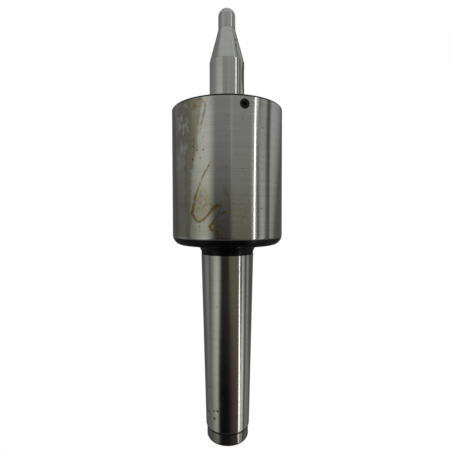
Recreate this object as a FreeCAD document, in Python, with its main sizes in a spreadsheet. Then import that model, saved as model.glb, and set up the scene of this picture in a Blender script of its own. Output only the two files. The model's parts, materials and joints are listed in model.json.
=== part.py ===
import FreeCAD, Part
import math
import os
import re
import Sketcher

# Live center with a Morse taper 3 shank and an extended round-nosed point.
# +Z runs along the axis towards the point; the origin is on the axis at the taper's gage plane.

Vector = FreeCAD.Vector
Placement = FreeCAD.Placement
Rotation = FreeCAD.Rotation

doc = FreeCAD.newDocument("live_center")
sheet = doc.addObject("Spreadsheet::Sheet", "Sizes")

SIZES = {
    # Shank: Morse taper 3, its neck and its relieved end
    "gage_radius": 11.9125,
    "taper_ratio": 19.922,
    "shank_length": 81.0,
    "taper_overrun": 5.0,
    "end_relief_radius": 9.58,
    "end_relief_length": 6.2,
    "end_round": 1.5,
    "step_bevel": 0.3,
    "neck_radius": 11.95,
    "neck_length": 4.3,
    "neck_fillet": 4.1,
    "taper_edge": 0.1,
    "end_hole_radius": 1.6,
    "end_hole_depth": 8.2,
    "end_hole_mouth": 4.0,
    # Housing body and its stepped bore
    "body_radius": 25.0,
    "body_length": 60.6,
    "rear_round": 4.5,
    "front_bevel": 0.45,
    "thread_radius": 21.0,
    "thread_depth": 6.0,
    "shoulder_bore": 17.0,
    "washer_seat_depth": 4.2,
    "tail_bore_radius": 7.0,
    "tail_bore_depth": 3.0,
    # Front cap
    "cap_length": 8.9,
    "cap_sink": 0.3,
    "cap_spigot_length": 3.2,
    "cap_recess_radius": 13.5,
    "cap_recess_depth": 2.8,
    "cap_lip_bore": 8.2,
    "cap_lip_bevel": 0.3,
    "spanner_hole_radius": 2.0,
    "spanner_hole_depth": 4.0,
    "spanner_circle": 16.0,
    "spanner_holes": 4,
    # Seals
    "seal_radius": 12.0,
    "seal_width": 4.0,
    "seal_case_wall": 0.8,
    "case_lip_width": 2.4,
    "lip_mouth": 0.7,
    "lip_throat": 0.5,
    "lip_throat_depth": 1.2,
    "lip_contact": 0.06,
    "lip_contact_depth": 2.4,
    "lip_foot_height": 0.4,
    "lip_body": 1.9,
    "lip_body_height": 1.7,
    "lip_web": 1.3,
    "lip_web_height": 2.2,
    "garter_radius": 0.45,
    "garter_height": 1.05,
    "o_ring_section": 0.88,
    "o_ring_groove_floor": 18.2,
    "o_ring_groove_width": 2.2,
    # Cap lock screw, M4, and the soft pad under it
    "screw_radius": 1.98,
    "screw_hole_radius": 2.0,
    "screw_length": 3.0,
    "screw_height": 66.15,
    "screw_azimuth": 15.8,
    "screw_hex_flats": 2.0,
    "screw_hex_depth": 1.6,
    "screw_edge": 0.25,
    "pad_thickness": 0.75,
    "pad_radius": 1.9,
    # Front angular contact bearings, 17 x 40 x 12, two alike
    "ring_outside": 20.0,
    "ring_inside": 8.5,
    "ring_width": 12.0,
    "ring_bevel": 0.6,
    "outer_land_high": 16.4,
    "outer_land_low": 17.3,
    "inner_land": 12.0,
    "pitch_radius": 14.25,
    "ball_radius": 3.3,
    "ball_count": 11,
    "cage_inside": 13.3,
    "cage_outside": 15.2,
    "cage_width": 9.6,
    "cage_bevel": 0.3,
    # Locknut, lock washer and spacer on the spindle
    "lock_washer_thickness": 1.0,
    "lock_washer_radius": 12.5,
    "washer_tab_radius": 15.4,
    "washer_tab_width": 3.2,
    "washer_tabs": 11,
    "keyway_width": 4.4,
    "keyway_floor": 7.2,
    "key_gap": 0.1,
    "key_rise": 0.2,
    "nut_radius": 14.0,
    "nut_width": 5.0,
    "nut_slot_width": 4.0,
    "nut_slot_floor": 12.0,
    "nut_slots": 4,
    "spacer_width": 2.0,
    "spacer_radius": 12.4,
    "spacer_bevel": 0.3,
    # Thrust bearing, 15 x 28 x 9, and its disc spring
    "thrust_height": 9.0,
    "thrust_washer_width": 2.8,
    "thrust_outside": 14.0,
    "thrust_shaft_bore": 7.5,
    "thrust_housing_bore": 8.0,
    "thrust_pitch": 10.75,
    "thrust_ball_radius": 2.381,
    "thrust_ball_count": 11,
    "thrust_cage_thickness": 2.2,
    "thrust_cage_inside": 7.95,
    "thrust_cage_outside": 13.6,
    "thrust_washer_bevel": 0.4,
    "thrust_cage_bevel": 0.2,
    "disc_height": 1.2,
    "disc_thickness": 0.5,
    "disc_inside": 8.7,
    # Rear needle bearing, 12 x 18 x 12, in the shank
    "cup_radius": 9.0,
    "cup_wall": 1.0,
    "cup_length": 12.0,
    "cup_depth_below_gage": 8.0,
    "cup_lip_radius": 6.5,
    "cup_lip_thickness": 0.8,
    "needle_radius": 0.95,
    "needle_length": 8.0,
    "needle_pitch": 7.0,
    "needle_count": 14,
    "needle_cage_inside": 6.6,
    "needle_cage_outside": 7.5,
    "needle_cage_length": 10.0,
    "needle_cage_bevel": 0.15,
    "snap_ring_thickness": 1.0,
    "snap_ring_inside": 7.9,
    "snap_groove_radius": 9.5,
    "snap_gap_half": 1.2,
    "snap_lug_radius": 1.3,
    "snap_lug_reach": 7.7,
    "snap_lug_spread": 2.4,
    "snap_eye_radius": 0.6,
    # Spindle and point
    "tail_radius": 6.0,
    "tail_reach": 9.5,
    "tail_end_height": 17.4,
    "flange_radius": 11.5,
    "flange_width": 2.4,
    "point_radius": 7.9375,
    "point_reach": 22.0,
    "nose_radius": 3.9,
    "nose_length": 5.75,
    "cone_length": 14.95,
    "edge_bevel": 0.5,
    "relief_depth": 0.5,
    "relief_wheel": 56.0,
    "relief_drop": 7.0,
    "relief_azimuth": 75.0,
    # Clearances, and how far a cut runs past what it cuts
    "overcut": 1.0,
    "thread_gap": 0.05,
    "spigot_gap": 0.1,
    "disc_gap": 0.15,
    "groove_gap": 0.1,
    "ring_gap": 0.05,
    "slot_gap": 0.1,
    "fit_gap": 0.02,
    "race_gap": 0.08,
    "pocket_gap": 0.15,
}

for row, (alias, number) in enumerate(SIZES.items(), start=1):
    sheet.set(f"A{row}", alias)
    sheet.set(f"B{row}", str(number))
    sheet.setAlias(f"B{row}", alias)
doc.recompute()

# Heights above the gage plane, each worked out from the pieces stacked below or above it
FRONT_FACE = "(taper_overrun + neck_length + body_length)"
BEARING_TOP = f"({FRONT_FACE} - cap_sink - cap_length)"
BEARING_MIDDLE = f"({BEARING_TOP} - ring_width)"
BEARING_BOTTOM = f"({BEARING_TOP} - 2 * ring_width)"
NUT_TOP = f"({BEARING_BOTTOM} - lock_washer_thickness)"
NUT_BOTTOM = f"({NUT_TOP} - nut_width)"
THRUST_TOP = f"({NUT_BOTTOM} - spacer_width)"
THRUST_BOTTOM = f"({THRUST_TOP} - thrust_height)"
BORE_FLOOR = f"({THRUST_BOTTOM} - disc_height)"
CUP_BOTTOM = "(0 - cup_depth_below_gage)"
CUP_TOP = f"({CUP_BOTTOM} + cup_length)"
TAIL_END = "(0 - tail_reach)"
SHANK_END = "(0 - shank_length)"


def in_sheet(text):
    """An expression with each size's name pointed at its cell."""
    return re.sub(r"[a-z][a-z_]+", lambda name: f"Sizes.{name[0]}", text)


def value(text):
    """The number that an expression of the sheet's sizes gives."""
    return float(sheet.evalExpression(in_sheet(text)))


def new_body(label, station="0"):
    """A body with its own label, standing at a height on the axis."""
    body = doc.addObject("PartDesign::Body", label)
    body.Label = label
    body.setExpression("Placement.Base.z", in_sheet(station))
    return body


def origin_feature(body, role):
    """One of the body's own origin planes or axes."""
    return next(item for item in body.Origin.OriginFeatures if item.Role == role)


def new_sketch(body, name, role, offset=Placement()):
    """A sketch on one of the body's origin planes."""
    sketch = body.newObject("Sketcher::SketchObject", f"{body.Name}_{name}")
    sketch.AttachmentSupport = [(origin_feature(body, role), "")]
    sketch.MapMode = "FlatFace"
    sketch.AttachmentOffset = offset
    return sketch


def pin_point(sketch, edge, end, across, up):
    """Hold one end of an edge at (across, up), both given as expressions."""
    for kind, axis, text in (("DistanceX", -2, across), ("DistanceY", -1, up)):
        if text == "0":
            sketch.addConstraint(Sketcher.Constraint("PointOnObject", edge, end, axis))
            continue
        number = sketch.addConstraint(
            Sketcher.Constraint(kind, -1, 1, edge, end, value(text)))
        sketch.setExpression(f"Constraints[{number}]", in_sheet(text))


def arc_between(start, finish, radius, side):
    """An arc from start to finish; side +1 puts its centre on the left of that way."""
    chord = finish - start
    across = Vector(-chord.y, chord.x, 0).normalize() * side
    half = chord.Length / 2
    centre = (start + finish) / 2 + across * math.sqrt(max(radius ** 2 - half ** 2, 0))
    middle = centre - across * radius
    return Part.Arc(start, middle, finish)


def draw_outline(sketch, corners):
    """Close an outline through corners.

    A corner is (across, up), or (across, up, radius, side) where an arc leaves it.
    """
    places = [Vector(value(corner[0]), value(corner[1]), 0) for corner in corners]
    edges = []
    for index, corner in enumerate(corners):
        start = places[index]
        finish = places[(index + 1) % len(corners)]
        if len(corner) == 2:
            edge = Part.LineSegment(start, finish)
        else:
            edge = arc_between(start, finish, value(corner[2]), corner[3])
        edges.append((sketch.addGeometry(edge, False), corner))
    starts = []
    finishes = []
    for edge, corner in edges:
        turned_back = len(corner) == 4 and corner[3] < 0
        starts.append((edge, 2 if turned_back else 1))
        finishes.append((edge, 1 if turned_back else 2))
    for index in range(len(edges)):
        following = (index + 1) % len(edges)
        sketch.addConstraint(Sketcher.Constraint(
            "Coincident", *finishes[index], *starts[following]))
    for (edge, end), corner in zip(starts, corners):
        pin_point(sketch, edge, end, corner[0], corner[1])
        if len(corner) == 4:
            number = sketch.addConstraint(Sketcher.Constraint("Radius", edge, value(corner[2])))
            sketch.setExpression(f"Constraints[{number}]", in_sheet(corner[2]))


def draw_circle(sketch, across, up, radius):
    """A circle at (across, up)."""
    centre = Vector(value(across), value(up), 0)
    edge = sketch.addGeometry(Part.Circle(centre, Vector(0, 0, 1), value(radius)), False)
    pin_point(sketch, edge, 3, across, up)
    number = sketch.addConstraint(Sketcher.Constraint("Radius", edge, value(radius)))
    sketch.setExpression(f"Constraints[{number}]", in_sheet(radius))


def turned(label, station, corners):
    """A piece turned about the axis from an outline of (radius, height) corners."""
    body = new_body(label, station)
    sketch = new_sketch(body, "outline", "XZ_Plane")
    draw_outline(sketch, corners)
    turn = body.newObject("PartDesign::Revolution", f"{label}_turned")
    turn.Profile = sketch
    turn.ReferenceAxis = (sketch, ["V_Axis"])
    turn.Angle = 360
    return body


def plain_ring(inside, outside, width, bevel="ring_bevel"):
    """The outline of a ring with its four corners bevelled."""
    return [
        (f"{inside} + {bevel}", "0"),
        (f"{outside} - {bevel}", "0"),
        (outside, bevel),
        (outside, f"{width} - {bevel}"),
        (f"{outside} - {bevel}", width),
        (f"{inside} + {bevel}", width),
        (inside, f"{width} - {bevel}"),
        (inside, bevel),
    ]


def grind_race(body, pitch, height, radius):
    """A round-bottomed ball track cut into a ring."""
    sketch = new_sketch(body, "track", "XZ_Plane")
    draw_circle(sketch, pitch, height, radius)
    track = body.newObject("PartDesign::Groove", f"{body.Name}_race")
    track.Profile = sketch
    track.ReferenceAxis = (sketch, ["V_Axis"])
    track.Angle = 360


def repeat_round(body, feature, count):
    """Repeat a feature evenly about the axis."""
    pattern = body.newObject("PartDesign::PolarPattern", f"{feature.Name}_repeated")
    pattern.Originals = [feature]
    pattern.Axis = (origin_feature(body, "Z_Axis"), [""])
    pattern.Angle = 360
    pattern.setExpression("Occurrences", in_sheet(count))
    body.Tip = pattern


def cut_pocket(body, name, sketch, depth=None, outward=False):
    """Cut a sketch into the body, to a depth or right through one side of it."""
    pocket = body.newObject("PartDesign::Pocket", f"{body.Name}_{name}")
    pocket.Profile = sketch
    pocket.Reversed = outward
    if depth is None:
        pocket.Type = 1
    else:
        pocket.setExpression("Length", in_sheet(depth))
    return pocket


def add_pad(body, name, sketch, height):
    """Raise a sketch to a height."""
    pad = body.newObject("PartDesign::Pad", f"{body.Name}_{name}")
    pad.Profile = sketch
    pad.setExpression("Length", in_sheet(height))
    return pad


def rolling_set(label, station, pitch, radius, count, length=None):
    """Balls, or rollers where a length is given, spaced evenly round the axis."""
    body = new_body(label, station)
    body.AllowCompound = True
    kind = "PartDesign::AdditiveSphere" if length is None else "PartDesign::AdditiveCylinder"
    element = body.newObject(kind, f"{label}_first")
    element.setExpression("Radius", in_sheet(radius))
    if length is not None:
        element.setExpression("Height", in_sheet(length))
    element.setExpression("Placement.Base.y", in_sheet(f"0 - {pitch}"))
    repeat_round(body, element, count)
    return body


# Housing: one forging with its Morse taper shank, ground outside and bored in steps from the front

up = {
    "front": f"shank_length + {FRONT_FACE}",
    "thread": f"shank_length + {FRONT_FACE} - thread_depth",
    "bearing": f"shank_length + {BEARING_BOTTOM}",
    "washer": f"shank_length + {BORE_FLOOR} + washer_seat_depth",
    "floor": f"shank_length + {BORE_FLOOR}",
    "cup_top": f"shank_length + {CUP_TOP}",
    "cup": f"shank_length + {CUP_BOTTOM}",
    "tail": f"shank_length + {CUP_BOTTOM} - tail_bore_depth",
    "rear": "shank_length + taper_overrun + neck_length",
    "neck": "shank_length + taper_overrun",
}
small_end = "gage_radius - (shank_length - end_relief_length) / (2 * taper_ratio)"
large_end = "gage_radius + taper_overrun / (2 * taper_ratio)"
ROOT_3 = "1.7320508"

housing = turned("housing", SHANK_END, [
    ("end_hole_mouth", "0"),
    ("end_relief_radius - end_round", "0", "end_round", 1),
    ("end_relief_radius", "end_round"),
    ("end_relief_radius", "end_relief_length"),
    (f"{small_end} - step_bevel", "end_relief_length"),
    (small_end, "end_relief_length + step_bevel"),
    (large_end, f"{up['neck']} - taper_edge"),
    ("neck_radius", up["neck"]),
    ("neck_radius", f"{up['rear']} - neck_fillet", "neck_fillet", -1),
    ("neck_radius + neck_fillet", up["rear"]),
    ("body_radius - rear_round", up["rear"], "rear_round", 1),
    ("body_radius", f"{up['rear']} + rear_round"),
    ("body_radius", f"{up['front']} - front_bevel"),
    ("body_radius - front_bevel", up["front"]),
    ("thread_radius + front_bevel", up["front"]),
    ("thread_radius", f"{up['front']} - front_bevel"),
    ("thread_radius", up["thread"]),
    ("ring_outside", up["thread"]),
    ("ring_outside", up["bearing"]),
    ("shoulder_bore", up["bearing"]),
    ("shoulder_bore", up["washer"]),
    ("thrust_outside", up["washer"]),
    ("thrust_outside", up["floor"]),
    ("cup_radius + edge_bevel", up["floor"]),
    ("cup_radius", f"{up['floor']} - edge_bevel"),
    ("cup_radius", f"{up['cup_top']} + snap_ring_thickness + groove_gap"),
    ("snap_groove_radius", f"{up['cup_top']} + snap_ring_thickness + groove_gap"),
    ("snap_groove_radius", up["cup_top"]),
    ("cup_radius", up["cup_top"]),
    ("cup_radius", up["cup"]),
    ("tail_bore_radius", up["cup"]),
    ("tail_bore_radius", up["tail"]),
    ("0", f"{up['tail']} - tail_bore_radius / {ROOT_3}"),
    ("0", "end_hole_depth + end_hole_radius / 2"),
    ("end_hole_radius", "end_hole_depth"),
    ("end_hole_radius", f"(end_hole_mouth - end_hole_radius) * {ROOT_3}"),
])

# The lock screw's tapped hole runs in through the wall just behind the front edge
screw_turn = Placement(Vector(0, 0, 0), Rotation(Vector(0, 1, 0), value("screw_azimuth")))
screw_hole = new_sketch(housing, "screw_hole", "XZ_Plane", screw_turn)
draw_circle(screw_hole, "0", "shank_length + screw_height", "screw_hole_radius")
cut_pocket(housing, "tapped_hole", screw_hole, outward=True)

# Front cap: a threaded ring that clamps the bearings, turned with a two-pin spanner

cap_thread = "thread_radius - thread_gap"
cap_spigot = "ring_outside - spigot_gap"
groove_low = "cap_spigot_length / 2 - o_ring_groove_width / 2"
groove_high = "cap_spigot_length / 2 + o_ring_groove_width / 2"
front_cap = turned("front_cap", BEARING_TOP, [
    ("cap_recess_radius", "0"),
    (cap_spigot, "0"),
    (cap_spigot, groove_low),
    ("o_ring_groove_floor", groove_low),
    ("o_ring_groove_floor", groove_high),
    (cap_spigot, groove_high),
    (cap_spigot, "cap_spigot_length + thread_gap"),
    (cap_thread, "cap_spigot_length + thread_gap"),
    (cap_thread, "cap_length - edge_bevel"),
    (f"{cap_thread} - edge_bevel", "cap_length"),
    ("cap_lip_bore + cap_lip_bevel", "cap_length"),
    ("cap_lip_bore", "cap_length - cap_lip_bevel"),
    ("cap_lip_bore", "cap_recess_depth + seal_width"),
    ("seal_radius", "cap_recess_depth + seal_width"),
    ("seal_radius", "cap_recess_depth"),
    ("cap_recess_radius", "cap_recess_depth"),
])
cap_face = new_sketch(front_cap, "spanner_hole", "XY_Plane")
cap_face.setExpression("AttachmentOffset.Base.z", in_sheet("cap_length"))
draw_circle(cap_face, "spanner_circle", "0", "spanner_hole_radius")
spanner_hole = cut_pocket(front_cap, "spanner_hole_cut", cap_face, "spanner_hole_depth")
repeat_round(front_cap, spanner_hole, "spanner_holes")

# Lock screw and its brass pad, on the screw's own axis out of the housing wall


def on_screw_axis(body, radius):
    """Stand a body on the lock screw's axis, its own +Z pointing out of the housing."""
    turn = math.radians(value("screw_azimuth"))
    outward = Vector(math.sin(turn), -math.cos(turn), 0)
    height = Vector(0, 0, value("screw_height"))
    body.setExpression("Placement.Base.z", None)
    body.Placement = Placement(outward * value(radius) + height, Rotation(Vector(0, 0, 1), outward))


def draw_hexagon(sketch, flats):
    """A regular hexagon about the sketch's origin, flats apart."""
    reach = f"{flats} / {ROOT_3}"
    half = f"{flats} / 2"
    draw_outline(sketch, [
        (reach, "0"),
        (f"{reach} / 2", half),
        (f"0 - {reach} / 2", half),
        (f"0 - {reach}", "0"),
        (f"0 - {reach} / 2", f"0 - {half}"),
        (f"{reach} / 2", f"0 - {half}"),
    ])


pad_seat = f"{cap_thread} + fit_gap"
screw_seat = f"{pad_seat} + pad_thickness + fit_gap"
lock_pad = turned("lock_screw_pad", "0", [
    ("0", "0"),
    ("pad_radius", "0"),
    ("pad_radius", "pad_thickness"),
    ("0", "pad_thickness"),
])
on_screw_axis(lock_pad, pad_seat)

lock_screw = turned("cap_lock_screw", "0", [
    ("0", "screw_edge"),
    ("screw_radius / 2", "0"),
    ("screw_radius - screw_edge", "0"),
    ("screw_radius", "screw_edge"),
    ("screw_radius", "screw_length - screw_edge"),
    ("screw_radius - screw_edge", "screw_length"),
    ("0", "screw_length"),
])
hex_socket = new_sketch(lock_screw, "hex", "XY_Plane")
hex_socket.setExpression("AttachmentOffset.Base.z", in_sheet("screw_length"))
draw_hexagon(hex_socket, "screw_hex_flats")
cut_pocket(lock_screw, "hex_socket", hex_socket, "screw_hex_depth")
on_screw_axis(lock_screw, screw_seat)

# Shaft seal pressed into the cap: steel case, rubber lip and garter spring

SEAL = f"({BEARING_TOP} + cap_recess_depth)"
case_outside = "seal_radius - fit_gap"
turned("seal_case", SEAL, [
    (f"{case_outside} - seal_case_wall", "0"),
    (case_outside, "0"),
    (case_outside, "seal_width"),
    ("seal_radius - case_lip_width", "seal_width"),
    ("seal_radius - case_lip_width", "seal_width - seal_case_wall"),
    (f"{case_outside} - seal_case_wall", "seal_width - seal_case_wall"),
])
lip_outside = "seal_radius - case_lip_width - fit_gap"
turned("seal_lip", SEAL, [
    ("point_radius + lip_mouth", "seal_width"),
    ("point_radius + lip_throat", "seal_width - lip_throat_depth"),
    ("point_radius + lip_contact", "seal_width - lip_contact_depth"),
    ("point_radius + lip_mouth", "lip_foot_height"),
    ("point_radius + lip_body", "lip_foot_height"),
    ("point_radius + lip_body", "lip_body_height"),
    ("point_radius + lip_web", "lip_web_height"),
    (lip_outside, "seal_width - seal_case_wall"),
    (lip_outside, "seal_width"),
])


def round_ring(label, ring_radius, section, height):
    """A ring of round section, such as an O-ring, about the axis."""
    ring = doc.addObject("Part::Torus", label)
    ring.Label = label
    ring.setExpression("Radius1", in_sheet(ring_radius))
    ring.setExpression("Radius2", in_sheet(section))
    ring.setExpression("Placement.Base.z", in_sheet(height))
    return ring


round_ring("seal_garter_spring", "point_radius + lip_body + fit_gap + garter_radius",
           "garter_radius", f"{SEAL} + garter_height")
round_ring("cap_o_ring", "o_ring_groove_floor + fit_gap + o_ring_section", "o_ring_section",
           f"{BEARING_TOP} + cap_spigot_length / 2")

# Front bearing pair: angular contact, set back to back, each with rings, a cage and balls


def outer_ring(label, station, low_land, high_land):
    """An outer ring, given the land below its track and the land above it."""
    outside = "ring_outside - fit_gap"
    corners = [
        (f"{low_land} + ring_bevel", "0"),
        (f"{outside} - ring_bevel", "0"),
        (outside, "ring_bevel"),
        (outside, "ring_width - ring_bevel"),
        (f"{outside} - ring_bevel", "ring_width"),
        (f"{high_land} + ring_bevel", "ring_width"),
        (high_land, "ring_width - ring_bevel"),
        (high_land, "ring_width / 2"),
        (low_land, "ring_width / 2"),
        (low_land, "ring_bevel"),
    ]
    ring = turned(label, station, corners)
    grind_race(ring, "pitch_radius", "ring_width / 2", "ball_radius + race_gap")


def ball_bearing(name, station, low_land, high_land):
    """One angular contact bearing standing at a height."""
    outer_ring(f"{name}_outer_ring", station, low_land, high_land)
    inner = turned(f"{name}_inner_ring", station,
                   plain_ring("ring_inside + fit_gap", "inner_land", "ring_width"))
    grind_race(inner, "pitch_radius", "ring_width / 2", "ball_radius + race_gap")
    middle = f"{station} + ring_width / 2"
    cage = turned(f"{name}_cage", f"{middle} - cage_width / 2",
                  plain_ring("cage_inside", "cage_outside", "cage_width", "cage_bevel"))
    pocket = new_sketch(cage, "pocket", "XZ_Plane")
    draw_circle(pocket, "0", "cage_width / 2", "ball_radius + pocket_gap")
    repeat_round(cage, cut_pocket(cage, "ball_pocket", pocket, outward=True), "ball_count")
    rolling_set(f"{name}_balls", middle, "pitch_radius", "ball_radius", "ball_count")


ball_bearing("front_bearing", BEARING_MIDDLE, "outer_land_high", "outer_land_low")
ball_bearing("second_bearing", BEARING_BOTTOM, "outer_land_low", "outer_land_high")

# Lock washer and locknut that clamp the inner rings on the spindle

lock_washer = new_body("lock_washer", NUT_TOP)
washer_sketch = new_sketch(lock_washer, "ring", "XY_Plane")
draw_circle(washer_sketch, "0", "0", "lock_washer_radius")
draw_circle(washer_sketch, "0", "0", "ring_inside + fit_gap")
add_pad(lock_washer, "blank", washer_sketch, "lock_washer_thickness")
key_sketch = new_sketch(lock_washer, "key", "XY_Plane")
draw_outline(key_sketch, [
    ("keyway_width / 2 - key_gap", "keyway_floor + key_rise"),
    ("keyway_width / 2 - key_gap", "ring_inside + overcut"),
    ("key_gap - keyway_width / 2", "ring_inside + overcut"),
    ("key_gap - keyway_width / 2", "keyway_floor + key_rise"),
])
add_pad(lock_washer, "inner_key", key_sketch, "lock_washer_thickness")
tab_sketch = new_sketch(lock_washer, "tab", "XY_Plane")
draw_outline(tab_sketch, [
    ("lock_washer_radius - overcut", "0 - washer_tab_width / 2"),
    ("washer_tab_radius", "0 - washer_tab_width / 3"),
    ("washer_tab_radius", "washer_tab_width / 3"),
    ("lock_washer_radius - overcut", "washer_tab_width / 2"),
])
tab = add_pad(lock_washer, "outer_tab", tab_sketch, "lock_washer_thickness")
repeat_round(lock_washer, tab, "washer_tabs")

locknut = turned("spindle_locknut", NUT_BOTTOM,
                 plain_ring("ring_inside + fit_gap", "nut_radius", "nut_width"))
slot_sketch = new_sketch(locknut, "slot", "XY_Plane")
slot_sketch.setExpression("AttachmentOffset.Base.z", in_sheet("nut_width"))
draw_outline(slot_sketch, [
    ("nut_slot_floor", "0 - nut_slot_width / 2"),
    ("nut_radius + overcut", "0 - nut_slot_width / 2"),
    ("nut_radius + overcut", "nut_slot_width / 2"),
    ("nut_slot_floor", "nut_slot_width / 2"),
])
repeat_round(locknut, cut_pocket(locknut, "spanner_slot", slot_sketch), "nut_slots")

turned("thrust_spacer", THRUST_TOP,
       plain_ring("thrust_shaft_bore + fit_gap", "spacer_radius", "spacer_width", "spacer_bevel"))

# Thrust bearing, which carries the end load down into the housing through a disc spring

BALL_LEVEL = f"({THRUST_BOTTOM} + thrust_height / 2)"
thrust_race = "thrust_ball_radius + race_gap"
housing_washer = turned("thrust_housing_washer", THRUST_BOTTOM, plain_ring(
    "thrust_housing_bore", "thrust_outside - fit_gap", "thrust_washer_width",
    "thrust_washer_bevel"))
grind_race(housing_washer, "thrust_pitch", "thrust_height / 2", thrust_race)
shaft_washer = turned("thrust_shaft_washer", f"{THRUST_TOP} - thrust_washer_width", plain_ring(
    "thrust_shaft_bore + fit_gap", "thrust_outside - spigot_gap", "thrust_washer_width",
    "thrust_washer_bevel"))
grind_race(shaft_washer, "thrust_pitch", "thrust_washer_width - thrust_height / 2", thrust_race)
thrust_cage = turned("thrust_cage", f"{BALL_LEVEL} - thrust_cage_thickness / 2", plain_ring(
    "thrust_cage_inside", "thrust_cage_outside", "thrust_cage_thickness", "thrust_cage_bevel"))
thrust_pocket = new_sketch(thrust_cage, "pocket", "XY_Plane")
thrust_pocket.setExpression("AttachmentOffset.Base.z", in_sheet("thrust_cage_thickness"))
draw_circle(thrust_pocket, "0", "0 - thrust_pitch", "thrust_ball_radius + pocket_gap")
repeat_round(thrust_cage, cut_pocket(thrust_cage, "ball_pocket", thrust_pocket),
             "thrust_ball_count")
rolling_set("thrust_balls", BALL_LEVEL, "thrust_pitch", "thrust_ball_radius",
            "thrust_ball_count")
turned("preload_disc_spring", BORE_FLOOR, [
    ("thrust_outside - disc_gap", "0"),
    ("thrust_outside - disc_gap", "disc_thickness"),
    ("disc_inside", "disc_height"),
    ("disc_inside", "disc_height - disc_thickness"),
])

# Rear needle bearing in the shank, held by a snap ring

cup_outside = "cup_radius - fit_gap"
cup_track = "cup_radius - cup_wall"
turned("needle_cup", CUP_BOTTOM, [
    ("cup_lip_radius", "0"),
    (f"{cup_outside} - cup_lip_thickness", "0"),
    (cup_outside, "cup_lip_thickness"),
    (cup_outside, "cup_length"),
    ("cup_lip_radius", "cup_length"),
    ("cup_lip_radius", "cup_length - cup_lip_thickness"),
    (cup_track, "cup_length - cup_lip_thickness"),
    (cup_track, "cup_lip_thickness"),
    ("cup_lip_radius", "cup_lip_thickness"),
])
NEEDLE_LEVEL = f"({CUP_BOTTOM} + cup_length / 2)"
needle_cage = turned("needle_cage", f"{NEEDLE_LEVEL} - needle_cage_length / 2", plain_ring(
    "needle_cage_inside", "needle_cage_outside", "needle_cage_length", "needle_cage_bevel"))
needle_slot = new_sketch(needle_cage, "slot", "XZ_Plane")
slot_half = "needle_radius + slot_gap"
slot_low = "(needle_cage_length - needle_length) / 2 - slot_gap"
slot_high = "(needle_cage_length + needle_length) / 2 + slot_gap"
draw_outline(needle_slot, [
    (f"0 - ({slot_half})", slot_low),
    (slot_half, slot_low),
    (slot_half, slot_high),
    (f"0 - ({slot_half})", slot_high),
])
repeat_round(needle_cage, cut_pocket(needle_cage, "needle_pocket", needle_slot, outward=True),
             "needle_count")
rolling_set("needle_rollers", f"{NEEDLE_LEVEL} - needle_length / 2", "needle_pitch",
            "needle_radius", "needle_count", "needle_length")

snap_ring = new_body("needle_snap_ring", f"{CUP_TOP} + ring_gap")
snap_sketch = new_sketch(snap_ring, "ring", "XY_Plane")
draw_circle(snap_sketch, "0", "0", "snap_groove_radius - ring_gap")
draw_circle(snap_sketch, "0", "0", "snap_ring_inside")
add_pad(snap_ring, "blank", snap_sketch, "snap_ring_thickness")
gap_sketch = new_sketch(snap_ring, "gap", "XY_Plane")
gap_sketch.setExpression("AttachmentOffset.Base.z", in_sheet("snap_ring_thickness"))
draw_outline(gap_sketch, [
    ("snap_ring_inside - overcut", "0 - snap_gap_half"),
    ("snap_groove_radius + overcut", "0 - snap_gap_half"),
    ("snap_groove_radius + overcut", "snap_gap_half"),
    ("snap_ring_inside - overcut", "snap_gap_half"),
])
cut_pocket(snap_ring, "open_gap", gap_sketch)
for name, side in (("left", "1"), ("right", "-1")):
    lug_sketch = new_sketch(snap_ring, f"{name}_lug", "XY_Plane")
    draw_circle(lug_sketch, "snap_lug_reach", f"{side} * snap_lug_spread", "snap_lug_radius")
    add_pad(snap_ring, f"{name}_lug_pad", lug_sketch, "snap_ring_thickness")
for name, side in (("left", "1"), ("right", "-1")):
    eye_sketch = new_sketch(snap_ring, f"{name}_eye", "XY_Plane")
    eye_sketch.setExpression("AttachmentOffset.Base.z", in_sheet("snap_ring_thickness"))
    draw_circle(eye_sketch, "snap_lug_reach", f"{side} * snap_lug_spread", "snap_eye_radius")
    cut_pocket(snap_ring, f"{name}_eye_cut", eye_sketch)

# Spindle: one hardened bar with the bearing journals behind and the round-nosed point in front


def on_spindle(height):
    """A height above the gage plane, measured from the spindle's tail end."""
    return f"tail_reach + {height}"


cone_base = on_spindle(f"{FRONT_FACE} + point_reach")
cone_top = f"{cone_base} + cone_length"
spindle = turned("spindle_point", TAIL_END, [
    ("0", "0"),
    ("tail_radius - edge_bevel", "0"),
    ("tail_radius", "edge_bevel"),
    ("tail_radius", on_spindle("tail_end_height")),
    ("thrust_shaft_bore", on_spindle("tail_end_height")),
    ("thrust_shaft_bore", on_spindle(NUT_BOTTOM)),
    ("ring_inside", on_spindle(NUT_BOTTOM)),
    ("ring_inside", on_spindle(BEARING_TOP)),
    ("flange_radius", on_spindle(BEARING_TOP)),
    ("flange_radius", on_spindle(f"{BEARING_TOP} + flange_width - edge_bevel")),
    ("flange_radius - edge_bevel", on_spindle(f"{BEARING_TOP} + flange_width")),
    ("point_radius", on_spindle(f"{BEARING_TOP} + flange_width")),
    ("point_radius", cone_base),
    ("nose_radius", cone_top),
    ("nose_radius", f"{cone_top} + nose_length", "nose_radius", 1),
    ("0", f"{cone_top} + nose_length + nose_radius"),
])
keyway = new_sketch(spindle, "keyway", "XY_Plane")
keyway.setExpression("AttachmentOffset.Base.z", in_sheet(on_spindle(NUT_BOTTOM)))
draw_outline(keyway, [
    ("keyway_width / 2", "keyway_floor"),
    ("keyway_width / 2", "ring_inside + overcut"),
    ("0 - keyway_width / 2", "ring_inside + overcut"),
    ("0 - keyway_width / 2", "keyway_floor"),
])
cut_pocket(spindle, "keyway_cut", keyway, "nut_width + lock_washer_thickness + overcut",
           outward=True)

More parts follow.
